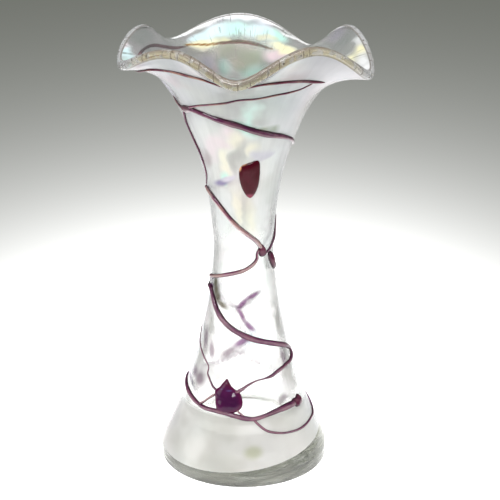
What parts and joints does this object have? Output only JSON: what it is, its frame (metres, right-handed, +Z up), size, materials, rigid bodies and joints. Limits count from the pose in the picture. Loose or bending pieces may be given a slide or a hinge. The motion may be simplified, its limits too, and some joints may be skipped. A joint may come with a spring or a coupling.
{
  "type": "vase",
  "caption": "Tall hand blown glass vase: thick round foot, slim waist, ruffled flaring lip, and trailed dark threads and dabs fused to the skin.",
  "frame": {"origin": "centre of the ground face under the foot, on the axis of the foot and waist", "axes": "+Z up through the mouth; -Y towards the front, the side with the teardrop and leaf prunts; +X to the viewer's right of that front"},
  "size_m": [0.1381, 0.1373, 0.2517],
  "materials": {
    "iridised_glass": "satin iridescent, translucent white with soft mint, cream and pink",
    "clear_glass": "clear fire polished, faintly grey green",
    "amethyst_glass": "glossy dark amethyst"
  },
  "bodies": {
    "root": {"blown_body": "iridised_glass", "clear_foot": "clear_glass", "rim_thread": "amethyst_glass", "collar_thread": "amethyst_glass", "collar_spur": "amethyst_glass", "collar_knot": "amethyst_glass", "side_thread": "amethyst_glass", "shoulder_thread": "amethyst_glass", "neck_thread": "amethyst_glass", "waist_knot": "amethyst_glass", "waist_spur": "amethyst_glass", "waist_drop": "amethyst_glass", "waist_thread": "amethyst_glass", "hip_thread": "amethyst_glass", "hip_return_thread": "amethyst_glass", "teardrop_prunt": "amethyst_glass", "leaf_prunt": "amethyst_glass", "leaf_thread": "amethyst_glass", "leaf_strut": "amethyst_glass", "leaf_vein": "amethyst_glass", "base_thread": "amethyst_glass", "bud_prunt": "amethyst_glass", "loop_thread": "amethyst_glass", "back_thread": "amethyst_glass", "back_branch": "amethyst_glass", "back_prunt": "amethyst_glass"}
  },
  "joints": []
}
